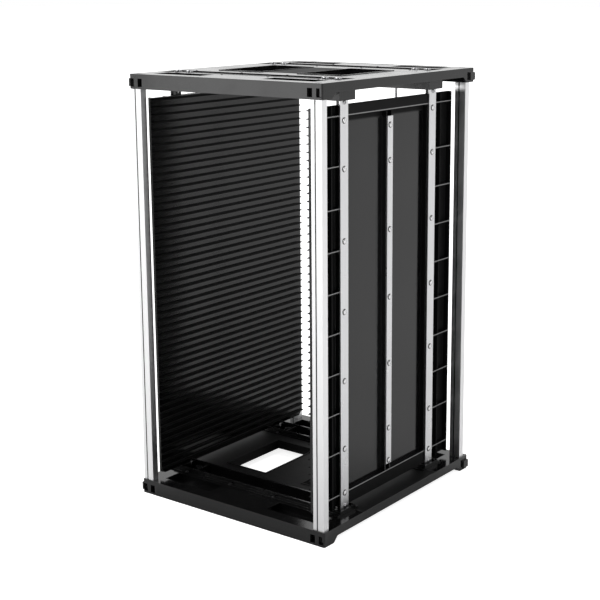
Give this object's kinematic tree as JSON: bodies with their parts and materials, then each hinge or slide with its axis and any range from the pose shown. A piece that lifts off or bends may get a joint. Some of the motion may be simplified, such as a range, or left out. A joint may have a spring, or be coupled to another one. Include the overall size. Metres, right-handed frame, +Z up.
{
  "type": "printed circuit board magazine rack",
  "caption": "Open rack with two moulded end frames, four aluminium posts and two ribbed side walls that hold circuit boards; one wall slides sideways to suit the board width",
  "frame": {"origin": "Centre of the footprint on the surface that the four feet stand on", "axes": "+X runs across the open front from the sliding wall to the fixed wall, +Y runs from the open front to the rear, +Z is up"},
  "size_m": [0.3214, 0.348, 0.582],
  "materials": {
    "frame_plastic": "satin black antistatic moulding",
    "guide_plastic": "satin black antistatic moulding",
    "wall_plastic": "black antistatic moulding with a soft gloss",
    "carrier_plastic": "satin black moulding",
    "post_aluminium": "clear anodised extrusion, satin",
    "strap_steel": "plated steel flat, satin",
    "rivet_steel": "plated, smooth dome",
    "fastener_steel": "zinc plated",
    "rod_steel": "ground and plated"
  },
  "bodies": {
    "rack": {"base_frame": "frame_plastic", "top_frame": "frame_plastic", "guide_base_front": "guide_plastic", "guide_base_rear": "guide_plastic", "guide_top_front": "guide_plastic", "guide_top_rear": "guide_plastic", "guide_screws": "fastener_steel", "post_front_left": "post_aluminium", "post_front_right": "post_aluminium", "post_rear_left": "post_aluminium", "post_rear_right": "post_aluminium", "tie_bolts": "fastener_steel", "fixed_wall": "wall_plastic", "fixed_strap_front": "strap_steel", "fixed_strap_rear": "strap_steel", "fixed_strap_middle": "strap_steel", "fixed_rivets": "rivet_steel", "fixed_carrier_base_front": "carrier_plastic", "fixed_carrier_base_rear": "carrier_plastic", "fixed_carrier_top_front": "carrier_plastic", "fixed_carrier_top_rear": "carrier_plastic", "fixed_clamp_screws": "fastener_steel", "fixed_washers": "fastener_steel", "fixed_strap_screws": "fastener_steel"},
    "sliding_side": {"sliding_wall": "wall_plastic", "sliding_strap_front": "strap_steel", "sliding_strap_rear": "strap_steel", "sliding_strap_middle": "strap_steel", "sliding_rivets": "rivet_steel", "sliding_carrier_base_front": "carrier_plastic", "sliding_carrier_base_rear": "carrier_plastic", "sliding_carrier_top_front": "carrier_plastic", "sliding_carrier_top_rear": "carrier_plastic", "sliding_clamp_screws": "fastener_steel", "sliding_washers": "fastener_steel", "sliding_strap_screws": "fastener_steel"},
    "stopper": {"stopper_rod": "rod_steel", "stopper_shoe_base": "carrier_plastic", "stopper_shoe_top": "carrier_plastic"}
  },
  "joints": [
    {"name": "wall_slide", "type": "slide", "parent": "rack", "child": "sliding_side", "axis": [1, 0, 0], "range_m": [0, 0.2]},
    {"name": "stopper_slide", "type": "slide", "parent": "rack", "child": "stopper", "axis": [1, 0, 0], "range_m": [-0.13, 0.07]}
  ]
}
